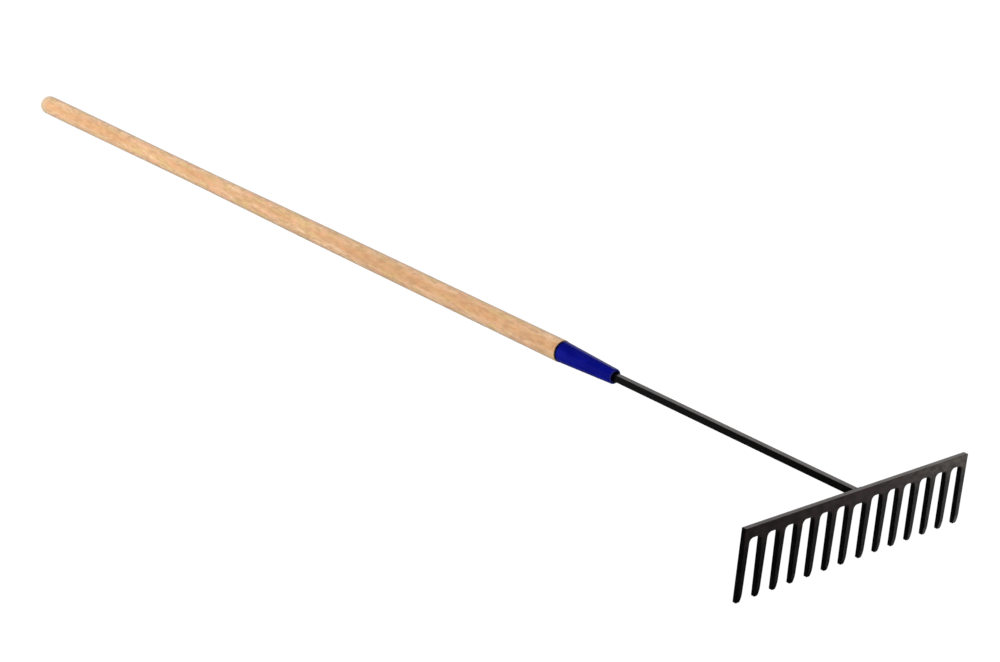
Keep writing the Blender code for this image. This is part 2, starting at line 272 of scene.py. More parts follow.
def rounded_corner(before, corner, after, radius, steps):
    """Arc of the given radius that replaces one corner of a flat outline."""
    to_before = (before - corner).normalized()
    to_after = (after - corner).normalized()
    half_angle = to_before.angle(to_after) / 2
    setback = radius / math.tan(half_angle)
    middle = (to_before + to_after).normalized()
    centre = corner + middle * (radius / math.sin(half_angle))
    start = corner + to_before * setback - centre
    sweep = start.angle_signed(corner + to_after * setback - centre)
    return [centre + Matrix.Rotation(-sweep * i / steps, 2) @ start for i in range(steps + 1)]


def reach(name, low_y, high_y):
    """Largest distance from the shank's axis of a CAD node's vertices between two places."""
    points = node_points(name, TOOL.inverted())
    chosen = points[(points[:, 1] >= low_y) & (points[:, 1] <= high_y)]
    return float(np.hypot(chosen[:, 0], chosen[:, 2] - AXIS_Z).max())


def tine_centre(index):
    """Place along the head of a tine's centre line. Tines are counted from the -X end."""
    place = index - (TINE_PAIRS - 0.5)
    return place * TINE_PITCH + math.copysign(MIDDLE_GAP_EXTRA / 2, place)


def tine_edges(index, z):
    """Left and right edge of a tine at a height: the two end tines are flush with the head."""
    share = (-BAR_DEPTH - z) / (HEAD_HEIGHT - BAR_DEPTH)
    half = (TINE_ROOT_WIDTH + (TINE_TIP_WIDTH - TINE_ROOT_WIDTH) * share) / 2
    left = tine_centre(index) - half
    right = tine_centre(index) + half
    if index == 0:
        left = -HALF_WIDTH
    if index == 2 * TINE_PAIRS - 1:
        right = HALF_WIDTH
    return left, right


def head_corners():
    """Corners of the plate with the radius of each, anticlockwise. Slot corners are hollow."""
    tines = 2 * TINE_PAIRS
    corners = [(-HALF_WIDTH, 0.0, HEAD_CORNER_RADIUS)]
    for index in range(tines):
        left, right = tine_edges(index, -HEAD_HEIGHT)
        corners.append((left, -HEAD_HEIGHT, TINE_TIP_RADIUS))
        corners.append((right, -HEAD_HEIGHT, TINE_TIP_RADIUS))
        if index == tines - 1:
            break
        depth = MIDDLE_BAR_DEPTH if index == TINE_PAIRS - 1 else BAR_DEPTH
        corners.append((tine_edges(index, -depth)[1], -depth, GAP_CORNER_RADIUS))
        corners.append((tine_edges(index + 1, -depth)[0], -depth, GAP_CORNER_RADIUS))
    corners.append((HALF_WIDTH, 0.0, HEAD_CORNER_RADIUS))
    return corners


def head_outline(inset):
    """Outline of the plate with its corners rounded, drawn in from the full outline by an inset."""
    corners = head_corners()
    places = [Vector(corner[:2]) for corner in corners]
    count = len(places)
    moved = []
    radii = []
    for i, corner in enumerate(corners):
        radius = corner[2]
        arriving = (places[i] - places[i - 1]).normalized()
        leaving = (places[(i + 1) % count] - places[i]).normalized()
        inward = Vector((-arriving.y - leaving.y, arriving.x + leaving.x))
        moved.append(places[i] + inward * (inset / (1 + arriving.dot(leaving))))
        turns_left = arriving.x * leaving.y - arriving.y * leaving.x > 0
        radii.append(radius - inset if turns_left else radius + inset)
    points = []
    for i in range(count):
        points += rounded_corner(moved[i - 1], moved[i], moved[(i + 1) % count], radii[i], ARC_STEPS)
    return points


def grind_tips(builder):
    """Bend the front face back towards the tips of the tines, more and more steeply."""
    start = TIP_GRIND_HEIGHT - HEAD_HEIGHT
    for i in range(GRIND_STEPS):
        level = Vector((0.0, 0.0, start - TIP_GRIND_HEIGHT * i / GRIND_STEPS))
        geometry = builder.verts[:] + builder.edges[:] + builder.faces[:]
        bmesh.ops.bisect_plane(builder, geom=geometry, plane_co=level, plane_no=(0.0, 0.0, 1.0))
    for vert in builder.verts:
        if vert.co.y < HEAD_THICKNESS / 2 and vert.co.z < start:
            share = (start - vert.co.z) / TIP_GRIND_HEIGHT
            vert.co.y += TIP_GRIND_DEPTH * share * share


def build_head(material):
    """Plate with rounded edges all round, and tine tips ground back on the front face."""
    radius = PLATE_EDGE_RADIUS
    edge = arc(0, 90, EDGE_STEPS)
    layers = [(radius - radius * math.cos(a), radius - radius * math.sin(a)) for a in edge]
    layers += [(HEAD_THICKNESS - y, inset) for y, inset in reversed(layers)]
    squeeze = 1 - 2 * PLATE_FACE_INSET / HEAD_THICKNESS
    rings = []
    for y, inset in layers:
        rings.append([(p.x, PLATE_FACE_INSET + y * squeeze, p.y) for p in head_outline(inset)])
    builder = loft(rings)
    grind_tips(builder)
    mesh_object("rake_head", builder, material, "head")


def square_ring(y, size):
    """Square with rounded corners round the shank's axis."""
    half = size / 2 - SHANK_CORNER_RADIUS
    points = []
    for start in (0, 90, 180, 270):
        for angle in arc(start, start + 90, ARC_STEPS // 2):
            x = math.copysign(half, math.cos(math.radians(start + 45)))
            z = math.copysign(half, math.sin(math.radians(start + 45)))
            x += SHANK_CORNER_RADIUS * math.cos(angle)
            z += SHANK_CORNER_RADIUS * math.sin(angle)
            points.append(Vector((x, y, AXIS_Z + z)))
    return points


def build_shank(material):
    """Square bar from the head's back face to the tip of its tang."""
    tang_start = SHANK_HIGH.y - TANG_LENGTH
    rings = [
        square_ring(HEAD_THICKNESS, SHANK_SIZE),
        square_ring(tang_start, SHANK_SIZE),
        square_ring(SHANK_HIGH.y, TANG_TIP_SIZE),
    ]
    mesh_object("square_shank", loft(rings), material, "shank")


def walk_round(points, distance):
    """Place at a distance along a closed row of points, with the direction out from its middle."""
    middle = sum(points, Vector()) / len(points)
    for i, point in enumerate(points):
        following = points[(i + 1) % len(points)]
        step = following - point
        if distance <= step.length:
            place = point + step.normalized() * distance
            normal = Vector((step.z, 0.0, -step.x)).normalized()
            rounding = (place - middle).normalized()
            return place, (normal + rounding * WELD_CORNER_SPREAD).normalized()
        distance -= step.length
    return points[0], (points[0] - middle).normalized()


def weld_section(direction, start, side_leg, ripple):
    """Section of the bead at one place round the shank: a bulged fillet with its two seats."""
    upward = max(direction.z, 0.0) ** 2
    upper_leg = WELD_HIGH.z - (AXIS_Z + SHANK_SIZE / 2)
    leg_out = side_leg + (upper_leg - side_leg) * upward
    leg_along = WELD_HIGH.y - HEAD_THICKNESS
    seat = start + direction * WELD_SEAT_GAP
    foot_y = HEAD_THICKNESS + WELD_SEAT_GAP
    points = [seat + Vector((0.0, foot_y - seat.y, 0.0))]
    for angle in arc(0, 90, ARC_STEPS):
        swell = 1 + WELD_BULGE * math.sin(2 * angle) * (1 - math.sin(angle) / 2) + ripple / leg_along
        out = (leg_out * (1 - math.sin(angle))) * swell
        along = (leg_along * (1 - math.cos(angle))) * swell
        points.append(seat + direction * out + Vector((0.0, foot_y - seat.y + along, 0.0)))
    return points


def build_weld(material):
    """Rippled fillet bead round the end of the shank."""
    corners = square_ring(0.0, SHANK_SIZE)
    perimeter = sum((corners[i - 1] - corners[i]).length for i in range(len(corners)))
    sections = round(perimeter / WELD_RIPPLE_PITCH) * WELD_RIPPLE_SECTIONS
    side_leg = WELD_HIGH.x - SHANK_SIZE / 2
    rings = []
    for i in range(sections):
        place, direction = walk_round(corners, perimeter * i / sections)
        phase = (i / WELD_RIPPLE_SECTIONS) % 1.0
        ripple = WELD_RIPPLE_HEIGHT * (math.sqrt(1 - phase) - 0.5)
        rings.append(weld_section(direction, place, side_leg - WELD_RIPPLE_HEIGHT, ripple))
    bead = loft(rings, closed=True)
    mesh_object("shank_weld_bead", bead, material, "shank_weld")


def ferrule_rim(radius):
    """Half-round end of the sleeve at the wood, from its outer side to its inner side."""
    half_wall = FERRULE_WALL / 2
    middle_radius = radius - half_wall
    points = []
    for angle in arc(180, 0, ARC_STEPS):
        y = FERRULE_END_Y - half_wall + half_wall * math.sin(angle)
        points.append((y, middle_radius - half_wall * math.cos(angle)))
    return points


def mouth_point(centre, distance, angle):
    """Point of the mouth's turn, as a place along the axis and a distance from it."""
    return centre[0] - distance * math.sin(angle), centre[1] + distance * math.cos(angle)


def ferrule_mouth(radius):
    """Turned-in end of the sleeve at the shank, from its inner side round its lip to its outer side."""
    centre = (MOUTH_TURN_Y, radius - MOUTH_TURN_RADIUS)
    turn_in = arc(0, math.degrees(MOUTH_TURN_ANGLE), ARC_STEPS)
    turn_out = arc(math.degrees(MOUTH_TURN_ANGLE), 0, ARC_STEPS)
    inner = [mouth_point(centre, MOUTH_TURN_RADIUS - FERRULE_WALL, angle) for angle in turn_in]
    outer = [mouth_point(centre, MOUTH_TURN_RADIUS, angle) for angle in turn_out]
    lip_y, lip_radius = mouth_point(centre, MOUTH_TURN_RADIUS - FERRULE_WALL / 2, MOUTH_TURN_ANGLE)
    sine = math.sin(MOUTH_TURN_ANGLE)
    cosine = math.cos(MOUTH_TURN_ANGLE)
    lip = []
    for angle in arc(0, 180, ARC_STEPS)[1:-1]:
        across = FERRULE_WALL / 2 * math.cos(angle)
        ahead = FERRULE_WALL / 4 * math.sin(angle)
        lip.append((lip_y + across * sine - ahead * cosine, lip_radius - across * cosine - ahead * sine))
    return inner + lip + outer


def build_ferrule(material):
    """Tapered sleeve with a rolled rim at the wood and a turned-in mouth round the shank."""
    large = reach("ferrule", FERRULE_END_Y - 2 * FERRULE_RIM_RADIUS, FERRULE_END_Y)
    small = reach("ferrule", MOUTH_Y, MOUTH_TURN_Y + FERRULE_RIM_RADIUS)
    rings = [turned_ring(y, r) for y, r in ferrule_rim(large) + ferrule_mouth(small)]
    sleeve = loft(rings, closed=True)
    mesh_object("ferrule_sleeve", sleeve, material, "ferrule")


def handle_outline():
    """Distances and radii of the grip, from the shoulder at the ferrule to the start of the dome."""
    points = node_points("handle", TOOL.inverted())
    radii = np.hypot(points[:, 0], points[:, 2] - AXIS_Z)
    grip = (points[:, 1] > FERRULE_END_Y) & (radii > GRIP_RADIUS_SHARE * radii.max())
    places = np.round(points[grip, 1], GRIP_PLACE_DIGITS)
    known_y = np.unique(places)
    known_r = np.array([radii[grip][places == y].max() for y in known_y])
    dome_y = BUTT_Y - BUTT_DOME_LENGTH
    before_dome = known_y <= dome_y + GRIP_PLACE_TOLERANCE
    known_r = known_r[before_dome]
    known_y = known_y[before_dome]
    count = round((dome_y - known_y[1]) / HANDLE_RING_STEP)
    wanted = np.linspace(known_y[1], dome_y, count)
    return known_y[0], wanted, np.interp(wanted, known_y, known_r)


def uneven_ring(y, radius):
    """Ring of the grip with the slight waviness of a turned and sanded surface, always inwards."""
    ring = []
    for angle in ROUND_ANGLES:
        place = Vector((math.sin(angle), math.cos(angle), y * HANDLE_WAVES_PER_METRE))
        dip = HANDLE_UNEVENNESS * (0.5 + 0.5 * noise.noise(place))
        ring.append(turned_point(y, radius - dip, angle))
    return ring


def build_handle(material):
    """Turned handle: a nose inside the ferrule with a bore for the tang, the grip and its dome."""
    shoulder_y, grip_y, grip_r = handle_outline()
    nose_small = reach("handle", NOSE_Y, NOSE_Y + BORE_CLEARANCE)
    nose_large = reach("handle", shoulder_y - FERRULE_WALL, shoulder_y + BORE_CLEARANCE)
    sleeve_inside = reach("ferrule", MOUTH_Y, FERRULE_END_Y) - FERRULE_WALL - BORE_CLEARANCE
    bore_mouth = SHANK_SIZE / math.sqrt(2) + BORE_CLEARANCE
    bore_tip = TANG_TIP_SIZE / math.sqrt(2) + BORE_CLEARANCE
    rings = [
        turned_ring(SHANK_HIGH.y + BORE_CLEARANCE, bore_tip),
        turned_ring(NOSE_Y, bore_mouth),
        turned_ring(NOSE_Y, nose_small),
        turned_ring(shoulder_y, min(nose_large, sleeve_inside)),
        turned_ring(shoulder_y, grip_r[0] - BORE_CLEARANCE),
    ]
    rings += [uneven_ring(y, r) for y, r in zip(grip_y, grip_r)]
    for sweep in arc(0, DOME_END_DEGREES, 2 * ARC_STEPS)[1:]:
        y = grip_y[-1] + BUTT_DOME_LENGTH * math.sin(sweep)
        rings.append(uneven_ring(y, grip_r[-1] * math.cos(sweep)))
    mesh_object("wooden_handle", loft(rings), material, "handle")


def build_pin(material):
    """Low-headed pin that comes up through the ferrule from below."""
    centre_y = (PIN_LOW.y + PIN_HIGH.y) / 2
    body_radius = PIN_DIAMETER / 2
    seat_z = PIN_LOW.z + PIN_HEAD_HEIGHT
    profile = [
        (PIN_HIGH.z, body_radius * PIN_POINT_SHARE),
        (PIN_HIGH.z - PIN_POINT_LENGTH, body_radius),
        (seat_z, body_radius),
    ]
    for angle in arc(0, DOME_END_DEGREES, ARC_STEPS):
        profile.append((seat_z - PIN_HEAD_HEIGHT * math.sin(angle), PIN_HIGH.x * math.cos(angle)))
    angles = [2 * math.pi * i / PIN_SEGMENTS for i in range(PIN_SEGMENTS)]
    rings = []
    for z, r in profile:
        rings.append([Vector((r * math.cos(a), centre_y + r * math.sin(a), z)) for a in angles])
    mesh_object("ferrule_pin_head", loft(rings), material, "ferrule_pin")


class Nodes:
    """Short calls that add nodes to a node tree."""

    def __init__(self, tree):
        """Work in the given node tree."""
        self.tree = tree

    def put(self, socket, value):
        """Link a node's output to an input, or set a plain value there."""
        if isinstance(value, bpy.types.NodeSocket):
            self.tree.links.new(value, socket)
        else:
            socket.default_value = value

    def add(self, kind, inputs, **settings):
        """New node with its settings made first, and then its inputs linked or set."""
        node = self.tree.nodes.new(kind)
        for name, value in settings.items():
            setattr(node, name, value)
        for key, value in inputs.items():
            self.put(node.inputs[key], value)
        return node

    def math(self, operation, first, second=0.0):
        """One step of arithmetic on values."""
        return self.add("ShaderNodeMath", {0: first, 1: second}, operation=operation).outputs["Value"]

    def vector(self, operation, first, second=(0.0, 0.0, 0.0), output="Vector"):
        """One step of arithmetic on vectors."""
        node = self.add("ShaderNodeVectorMath", {0: first, 1: second}, operation=operation)
        return node.outputs[output]

    def ranged(self, value, low, high, to_low=0.0, to_high=1.0):
        """Smooth ramp of a value from one range to another."""
        inputs = {"Value": value, "From Min": low, "From Max": high, "To Min": to_low, "To Max": to_high}
        node = self.add("ShaderNodeMapRange", inputs, interpolation_type="SMOOTHSTEP")
        return node.outputs["Result"]

    def mix(self, share, first, second):
        """Blend of two colours, with a share of the second."""
        inputs = {"Factor": share, "A": first, "B": second}
        return self.add("ShaderNodeMix", inputs, data_type="RGBA").outputs["Result"]

    def layered(self, colour, layers):
        """Colour with others laid over it in turn, each by its share."""
        for share, other in layers:
            colour = self.mix(share, colour, other)
        return colour


class Shader(Nodes):
    """A Principled material that is painted by place in the tool's own frame."""

    def __init__(self, name, uniform):
        """New material. The uniform values are set on the shader's own sockets."""
        self.material = bpy.data.materials.new(name)
        self.material.use_nodes = True
        super().__init__(self.material.node_tree)
        self.out = self.tree.nodes["Principled BSDF"]
        for socket, value in uniform.items():
            self.out.inputs[socket].default_value = value
        local = TOOL.inverted()
        coordinates = self.add("ShaderNodeTexCoord", {}).outputs["Object"]
        self.place = self.mapped(coordinates, turn=local.to_euler(), shift=local.to_translation())

    def mapped(self, place, scale=(1.0, 1.0, 1.0), turn=(0.0, 0.0, 0.0), shift=(0.0, 0.0, 0.0)):
        """Place that is scaled, then turned, then shifted."""
        inputs = {"Vector": place, "Scale": scale, "Rotation": turn, "Location": shift}
        return self.add("ShaderNodeMapping", inputs).outputs["Vector"]

    def axis(self, name):
        """X, Y or Z in the tool's own frame."""
        return self.add("ShaderNodeSeparateXYZ", {"Vector": self.place}).outputs[name]

    def noise(self, scale, detail=3.0, roughness=0.5, shift=(0.0, 0.0, 0.0), place=None, output="Fac"):
        """Noise with so many periods per metre along each axis."""
        scaled = self.mapped(place or self.place, scale=scale, shift=shift)
        inputs = {"Vector": scaled, "Scale": 1.0, "Detail": detail, "Roughness": roughness}
        return self.add("ShaderNodeTexNoise", inputs).outputs[output]

    def streaks(self, place, across, along, detail=3.0, roughness=0.6, shift=(0.0, 0.0, 0.0)):
        """Long noise with so many periods per metre across the grain and along it."""
        return self.noise((across, along, across), detail, roughness, shift, place)

    def bump(self, height, distance, strength, under=None):
        """Normal that follows a height, over the normal of a bump under it."""
        inputs = {"Height": height, "Distance": distance, "Strength": strength}
        if under:
            inputs["Normal"] = under
        return self.add("ShaderNodeBump", inputs).outputs["Normal"]

    def finish(self, colour, roughness, normal):
        """Link the colour, roughness and normal to the surface, and return the material."""
        self.put(self.out.inputs["Base Color"], colour)
        self.put(self.out.inputs["Roughness"], roughness)
        self.put(self.out.inputs["Normal"], normal)
        return self.material


def rgb(red, green, blue):
    """Linear colour with full opacity."""
    return (red, green, blue, 1.0)


WHITE = rgb(1.0, 1.0, 1.0)

# Colours of the black paint and of the rust under it, whose tan also serves as painted reflection
BLACK_DEEP = rgb(0.0007, 0.0006, 0.0006)
BLACK_THIN = rgb(0.0018, 0.0014, 0.0013)
BLACK_SPECKLE = rgb(0.010, 0.009, 0.009)
RUST_BROWN = rgb(0.056, 0.022, 0.023)
RUST_AND_REFLECTION_TAN = rgb(0.150, 0.112, 0.085)


def bar_rust(paint, shift, most):
    """Share and colour of the rust on the bar: on its front and a little on its top, more and paler
    towards +X as painted reflection.
    """
    patches = paint.noise((90, 90, 150), roughness=0.6, shift=shift)
    across = paint.axis("X")
    height = paint.axis("Z")
    front_face = paint.ranged(paint.axis("Y"), *FRONT_FACE_Y, 1.0, 0.0)
    top_face = paint.ranged(height, *TOP_FACE_Z, 0.0, 0.15)
    patchy = paint.ranged(patches, 0.38, 0.60, 0.20, 1.0)
    share = paint.math("MULTIPLY", patchy, paint.ranged(height, *RUST_FADE_Z, 0.0, most))
    # painted reflection: the rust share grows towards +X
    share = paint.math("MULTIPLY", share, paint.ranged(across, *RUST_AND_REFLECTION_X, 0.52, 1.0))
    share = paint.math("MULTIPLY", share, paint.math("MAXIMUM", front_face, top_face))
    # painted reflection: the rust turns paler tan towards +X
    return share, paint.mix(paint.ranged(across, *REFLECTION_PALER_X), RUST_BROWN, RUST_AND_REFLECTION_TAN)


def black_paint_material(name, seed, rust_share=0.0):
    """Thin black paint over hot-rolled steel: fine peel, mill waves, speckles, and rust on the bar, with
    painted reflection towards +X.
    """
    paint = Shader(name, {"Specular IOR Level": 1.0, "Coat Weight": 0.8, "Coat Roughness": 0.32})
    shift = (seed, seed * 0.7, seed * 1.3)
    drift = paint.noise((45, 45, 45), detail=4, shift=shift)
    speckle = paint.noise((900, 900, 900), detail=2, shift=shift)
    black = paint.mix(paint.ranged(drift, 0.38, 0.66), BLACK_DEEP, BLACK_THIN)
    layers = (
        bar_rust(paint, shift, rust_share),
        (paint.ranged(speckle, 0.62, 0.78, 0.0, 0.3), BLACK_SPECKLE),
    )
    colour = paint.layered(black, layers)
    roughness = paint.ranged(drift, 0.3, 0.7, 0.31, 0.43)
    waves = paint.bump(paint.noise((70, 70, 70), detail=2, shift=shift), PAINT_WAVES, 0.25)
    peel = paint.bump(paint.noise((1300, 1300, 1300), detail=2), PAINT_PEEL, 0.5, under=waves)
    paint.put(paint.out.inputs["Coat Normal"], peel)
    return paint.finish(colour, roughness, peel)


# Colours of the blue enamel, with painted shade for the top and the rim and a painted highlight for the
# mouth
BLUE_DEEP = rgb(0.0003, 0.0020, 0.195)
BLUE_BRIGHT = rgb(0.0006, 0.0038, 0.265)
# painted shade on the top of the ferrule
BLUE_TOP_SHADE = rgb(0.0001, 0.0008, 0.120)
# painted highlight on the turned-in shoulder at the mouth
BLUE_MOUTH_HIGHLIGHT = rgb(0.0200, 0.0250, 0.190)
# painted shade along the rim at the wood
BLUE_RIM_SHADE = rgb(0.0008, 0.0012, 0.022)


def blue_enamel_material():
    """Glossy deep blue enamel with slight peel, with painted shade on top and at its rim, and a painted
    highlight at its mouth.
    """
    enamel = Shader("blue_enamel", {})
    along = enamel.axis("Y")
    height = enamel.axis("Z")
    drift = enamel.noise((60, 25, 60))
    blue = enamel.mix(enamel.ranged(drift, 0.35, 0.65), BLUE_DEEP, BLUE_BRIGHT)
    # painted shade: the enamel darkens towards the top of the ferrule
    top = enamel.ranged(height, AXIS_Z + TOP_SHADE_START, AXIS_Z + TOP_SHADE_FULL, 0.0, 0.45)
    # painted highlight: paler grey-blue on the turn at the mouth
    mouth = enamel.ranged(along, MOUTH_Y + MOUTH_HIGHLIGHT_FULL, MOUTH_Y + MOUTH_HIGHLIGHT_END, 0.8, 0.0)
    # painted shade: a dark line where the ferrule meets the wood
    rim = enamel.ranged(along, FERRULE_END_Y - RIM_SHADE_START, FERRULE_END_Y - RIM_SHADE_FULL, 0.0, 0.95)
    colour = enamel.layered(blue, ((top, BLUE_TOP_SHADE), (mouth, BLUE_MOUTH_HIGHLIGHT), (rim, BLUE_RIM_SHADE)))
    roughness = enamel.ranged(drift, 0.3, 0.7, 0.13, 0.18)
    waves = enamel.bump(enamel.noise((160, 60, 160), detail=2), ENAMEL_WAVES, 0.08)
    peel = enamel.bump(enamel.noise((900, 900, 900), detail=1), ENAMEL_PEEL, 0.10, under=waves)
    return enamel.finish(colour, roughness, peel)


# Colours of the ash, and the tint of painted shade that is multiplied into its sides and back
ASH_TAN = rgb(0.750, 0.430, 0.220)
ASH_PALE = rgb(0.955, 0.625, 0.370)
ASH_PINK = rgb(0.945, 0.485, 0.270)
ASH_STRAW = rgb(0.780, 0.530, 0.200)
ASH_BAND = rgb(0.690, 0.332, 0.132)
ASH_RING = rgb(0.620, 0.370, 0.180)
ASH_MOTTLE = rgb(0.730, 0.450, 0.205)
ASH_FLECK = rgb(0.540, 0.285, 0.135)
ASH_FIBRE = rgb(0.580, 0.330, 0.160)
ASH_PORE = rgb(0.360, 0.190, 0.090)
# end grain on the dome and painted sheen on the grip before it
ASH_END_GRAIN_AND_SHEEN = rgb(0.650, 0.490, 0.318)
# painted shade for the sides of the handle
ASH_SIDE_SHADE_TINT = rgb(0.860, 0.910, 0.960)
# painted shade on the nose inside the ferrule
NOSE_PAINTED_SHADE = rgb(0.012, 0.010, 0.010)


def from_pith(wood, place):
    """Distance of a place from the line along the tree's middle."""
    offset = wood.vector("SUBTRACT", place, PITH)
    flat = wood.vector("MULTIPLY", offset, (1.0, 0.0, 1.0))
    return wood.vector("LENGTH", flat, output="Value")


def wood_figure(wood):
    """Distance from the pith, and the place within a growth ring from 0 to 1. Both wander sideways."""
    wander = wood.vector("SUBTRACT", wood.noise((26, 6, 26), output="Color"), (0.5, 0.5, 0.5))
    wander = wood.vector("MULTIPLY", wander, (GRAIN_WANDER, 0.0, GRAIN_WANDER))
    half_wander = wood.vector("MULTIPLY", wander, (0.5, 0.0, 0.5))
    depth = from_pith(wood, wood.vector("ADD", wood.place, half_wander))
    slanted = wood.mapped(wood.place, turn=RING_SLANT)
    rings = wood.math("DIVIDE", from_pith(wood, wood.vector("ADD", slanted, wander)), RING_WIDTH)
    return depth, wood.math("FRACT", rings)


def ash_colour(wood, grain, depth, ring, fibre, pore):
    """Tan with pink, straw and brown patches and a dark band, with painted shade on the sides and on the
    nose, and paler towards the butt from end grain and painted sheen.
    """
    streak = wood.streaks(grain, 100, 15)
    blush = wood.streaks(grain, 85, 20, shift=(7.3, 1.1, 2.9))
    straw = wood.streaks(grain, 95, 25, shift=(1.7, 8.2, 5.3))
    dash = wood.streaks(grain, 190, 44, shift=(5.6, 2.3, 8.8))
    mottle = wood.streaks(grain, 230, 95, detail=2, roughness=0.5, shift=(3.9, 0.6, 6.4))
    fleck = wood.streaks(grain, 230, 52, shift=(2.1, 4.7, 0.9))
    late = wood.ranged(ring, 0.10, 0.85)
    along = wood.axis("Y")
    dashed = wood.ranged(dash, 0.42, 0.58, 0.58, 0.98)
    band = wood.math("MULTIPLY", wood.ranged(depth, *DARK_BAND_DEPTH), dashed)
    # paler and greyer towards the butt: end grain on the dome, and painted sheen on the grip before it
    end_grain_and_sheen = wood.ranged(along, BUTT_Y - END_GRAIN_SHEEN_START, BUTT_Y - END_GRAIN_SHEEN_FULL, 0.0, 0.75)
    layers = (
        (wood.ranged(blush, 0.46, 0.56, 0.0, 0.80), ASH_PINK),
        (wood.ranged(straw, 0.48, 0.60, 0.0, 0.85), ASH_STRAW),
        (band, ASH_BAND),
        (wood.ranged(late, 0.0, 1.0, 0.20, 0.0), ASH_RING),
        (wood.ranged(mottle, 0.40, 0.56, 0.48, 0.0), ASH_MOTTLE),
        (wood.ranged(fleck, 0.38, 0.53, 0.54, 0.0), ASH_FLECK),
        (wood.ranged(fibre, 0.36, 0.64, 0.20, 0.0), ASH_FIBRE),
        (wood.ranged(pore, 0.0, 1.0, 0.0, 0.30), ASH_PORE),
        (end_grain_and_sheen, ASH_END_GRAIN_AND_SHEEN),
    )
    tan = wood.mix(wood.ranged(streak, 0.38, 0.54), ASH_TAN, ASH_PALE)
    # painted shade: the back of the handle and its long edges on either side turn darker and greyer
    tint = wood.mix(wood.ranged(depth, *SIDE_SHADE_DEPTH), ASH_SIDE_SHADE_TINT, WHITE)
    tinted = wood.vector("MULTIPLY", wood.layered(tan, layers), tint)
    # painted shade: the nose deep inside the ferrule turns almost black
    nose_shade = wood.ranged(along, NOSE_Y + NOSE_SHADE_FULL, NOSE_Y + NOSE_SHADE_END, 1.0, 0.0)
    return wood.mix(nose_shade, tinted, NOSE_PAINTED_SHADE)


def ash_wood_material():
    """Lacquered ash: flat-sawn figure that faces up and left, slanting fibres, and open pores."""
    wood = Shader("ash_wood", {"Sheen Weight": 0.30, "Sheen Roughness": 0.5})
    depth, ring = wood_figure(wood)
    grain = wood.mapped(wood.place, turn=FIBRE_SLANT)
    fibre = wood.streaks(grain, 620, 24, detail=4)
    vessel = wood.ranged(wood.streaks(grain, 2600, 70, detail=1, roughness=0.5), 0.56, 0.68)
    early = wood.math("SUBTRACT", 1.0, wood.ranged(ring, 0.0, 0.45))
    pore = wood.math("MULTIPLY", vessel, wood.ranged(early, 0.0, 1.0, 0.25, 1.0))
    colour = ash_colour(wood, grain, depth, ring, fibre, pore)
    roughness = wood.ranged(fibre, 0.3, 0.7, 0.36, 0.50)
    furrows = wood.bump(fibre, ASH_FURROWS, 0.35)
    pits = wood.bump(wood.math("SUBTRACT", 1.0, pore), ASH_PITS, 0.35, under=furrows)
    return wood.finish(colour, roughness, pits)


# Colours of the pin
STEEL_DULL = rgb(0.26, 0.26, 0.27)
STEEL_BRIGHT = rgb(0.40, 0.40, 0.41)


def pin_steel_material():
    """Plain steel with fine scratches."""
    steel = Shader("pin_steel", {"Metallic": 1.0})
    drift = steel.noise((700, 700, 700))
    colour = steel.mix(drift, STEEL_DULL, STEEL_BRIGHT)
    roughness = steel.ranged(drift, 0.3, 0.7, 0.30, 0.48)
    scratches = steel.bump(steel.noise((4000, 300, 4000), detail=2), PIN_SCRATCHES, 0.4)
    return steel.finish(colour, roughness, scratches)


FLOOR_GREY = rgb(0.07, 0.07, 0.07)


def pale_floor_material():
    """Grey that glows almost white by itself, so that the shadow on it stays faint."""
    material = bpy.data.materials.new("pale_floor")
    material.use_nodes = True
    inputs = material.node_tree.nodes["Principled BSDF"].inputs
    inputs["Base Color"].default_value = FLOOR_GREY
    inputs["Roughness"].default_value = 1.0
    inputs["Specular IOR Level"].default_value = 0.0
    inputs["Emission Color"].default_value = WHITE
    inputs["Emission Strength"].default_value = FLOOR_GLOW
    return material


def add_camera():
    """Camera at the photograph's viewing angle."""
    data = bpy.data.cameras.new("photo_camera")
    data.sensor_fit = "HORIZONTAL"
    data.sensor_width = SENSOR_WIDTH_MM
    data.lens = FOCAL_LENGTH_MM
    data.clip_end = CAMERA_REACH
    camera = bpy.data.objects.new("photo_camera", data)
    camera.location = CAMERA_PLACE
    camera.rotation_euler = [math.radians(angle) for angle in CAMERA_TURN_DEGREES]
    bpy.context.scene.collection.objects.link(camera)
    bpy.context.scene.camera = camera


def hang_light(name, data, direction, place=(0.0, 0.0, 0.0)):
    """Light that shines in a direction from a place."""
    light = bpy.data.objects.new(name, data)
    light.location = place
    light.rotation_euler = direction.to_track_quat("-Z", "Y").to_euler()
    bpy.context.scene.collection.objects.link(light)
    return light


def add_sky(name, toward, strength):
    """Wide soft light from one direction, the same everywhere along the tool. It has no glint."""
    data = bpy.data.lights.new(name, "SUN")
    data.angle = math.radians(SKY_SPREAD_DEGREES)
    data.energy = strength
    light = hang_light(name, data, -Vector(toward))
    light.visible_glossy = False


def add_softbox(name, place, aim, size, power):
    """Square soft light near the tool. It has no glint."""
    data = bpy.data.lights.new(name, "AREA")
    data.shape = "SQUARE"
    data.size = size
    data.energy = power
    light = hang_light(name, data, Vector(aim) - Vector(place), place)
    light.visible_glossy = False


def add_card(name, place, aim, size, glow, colour=(1.0, 1.0, 1.0)):
    """Flat glowing card of a given radiance that only shows as a reflection."""
    width, height = size
    data = bpy.data.lights.new(name, "AREA")
    data.shape = "RECTANGLE"
    data.size = width
    data.size_y = height
    data.energy = glow * AREA_LIGHT_POWER * width * height
    data.color = colour
    light = hang_light(name, data, Vector(aim) - Vector(place), place)
    light.visible_diffuse = False
    light.visible_camera = False


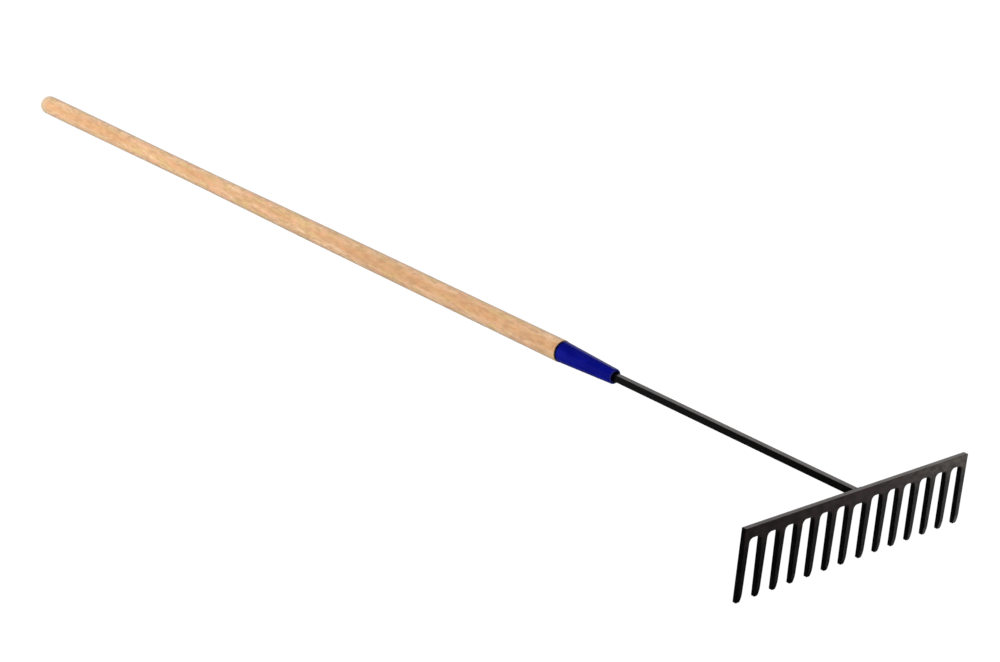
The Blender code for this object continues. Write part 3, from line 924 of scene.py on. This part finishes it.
def add_stage_object(name, builder, material):
    """Thing round the tool that the camera sees, but that sends the tool no light and no shadow."""
    mesh = bpy.data.meshes.new(name)
    builder.to_mesh(mesh)
    builder.free()
    mesh.materials.append(material)
    obj = bpy.data.objects.new(name, mesh)
    bpy.context.scene.collection.objects.link(obj)
    obj.visible_diffuse = False
    obj.visible_glossy = False
    obj.visible_transmission = False
    obj.visible_shadow = False


def add_stage():
    """Pale floor and backdrop, with a faint soft shadow on the floor."""
    material = pale_floor_material()
    floor = bmesh.new()
    bmesh.ops.create_circle(floor, cap_ends=True, segments=FLOOR_SEGMENTS, radius=FLOOR_RADIUS)
    add_stage_object("floor", floor, material)
    backdrop = bmesh.new()
    bmesh.ops.create_uvsphere(
        backdrop, u_segments=BACKDROP_SEGMENTS, v_segments=BACKDROP_SEGMENTS // 2, radius=BACKDROP_RADIUS
    )
    bmesh.ops.reverse_faces(backdrop, faces=backdrop.faces)
    add_stage_object("backdrop", backdrop, material)


def with_glow(studio, direction, light, toward, inner_degrees, outer_degrees, strength):
    """Light of the surroundings with a soft round patch added in one direction."""
    centre = Vector(toward).normalized()
    nearness = studio.vector("DOT_PRODUCT", direction, centre, output="Value")
    edge = math.cos(math.radians(outer_degrees))
    full = math.cos(math.radians(inner_degrees))
    return studio.math("ADD", studio.ranged(nearness, edge, full, 0.0, strength), light)


def add_world():
    """Dim studio round the tool, brighter behind it on the right and low behind it."""
    world = bpy.data.worlds.new("studio")
    bpy.context.scene.world = world
    world.use_nodes = True
    studio = Nodes(world.node_tree)
    direction = studio.add("ShaderNodeTexCoord", {}).outputs["Generated"]
    light = with_glow(
        studio, direction, STUDIO_DIMMEST,
        toward=(0.74, 0.62, 0.06), inner_degrees=0.0, outer_degrees=46.0, strength=0.28,
    )
    light = with_glow(
        studio, direction, light,
        toward=(0.15, 0.67, -0.72), inner_degrees=5.0, outer_degrees=40.0, strength=0.09,
    )
    studio.put(studio.tree.nodes["Background"].inputs["Color"], light)


def light_scene():
    """Soft light from four sides and beside the butt, three cards for the gloss, and the dim studio."""
    add_sky("left_sky", toward=(-0.70, 0.60, 0.16), strength=2.18)
    add_sky("low_sky", toward=(-0.45, -0.10, -0.85), strength=0.45)
    add_sky("front_sky", toward=(-0.60, -0.72, 0.10), strength=0.50)
    add_sky("right_sky", toward=(0.70, 0.10, 0.60), strength=1.40)
    add_softbox("butt_softbox", place=(-1.6, 1.8, 0.5), aim=(0.0, 0.9, 0.0), size=1.4, power=20.0)
    add_card(
        "right_card", place=(1.38, -1.22, -0.45), aim=(0.05, -0.95, 0.05),
        size=(0.8, 0.8), glow=0.50,
    )
    add_card(
        "back_card", place=(0.74, -0.22, 0.50), aim=(0.0, -0.90, 0.09),
        size=(0.70, 0.40), glow=0.435, colour=(1.0, 0.92, 0.89),
    )
    add_card(
        "left_card", place=(-0.61, 0.03, -0.03), aim=(0.0, -0.45, 0.08),
        size=(0.55, 0.95), glow=0.048,
    )
    add_world()


def build_rake():
    """Every visible piece of the rake."""
    build_head(black_paint_material("head_paint", seed=0.0, rust_share=1.0))
    build_shank(black_paint_material("shank_paint", seed=3.1))
    build_weld(black_paint_material("weld_paint", seed=5.7))
    build_ferrule(blue_enamel_material())
    build_handle(ash_wood_material())
    build_pin(pin_steel_material())


build_rake()
add_camera()
light_scene()
add_stage()
bpy.context.scene.view_settings.view_transform = "Standard"
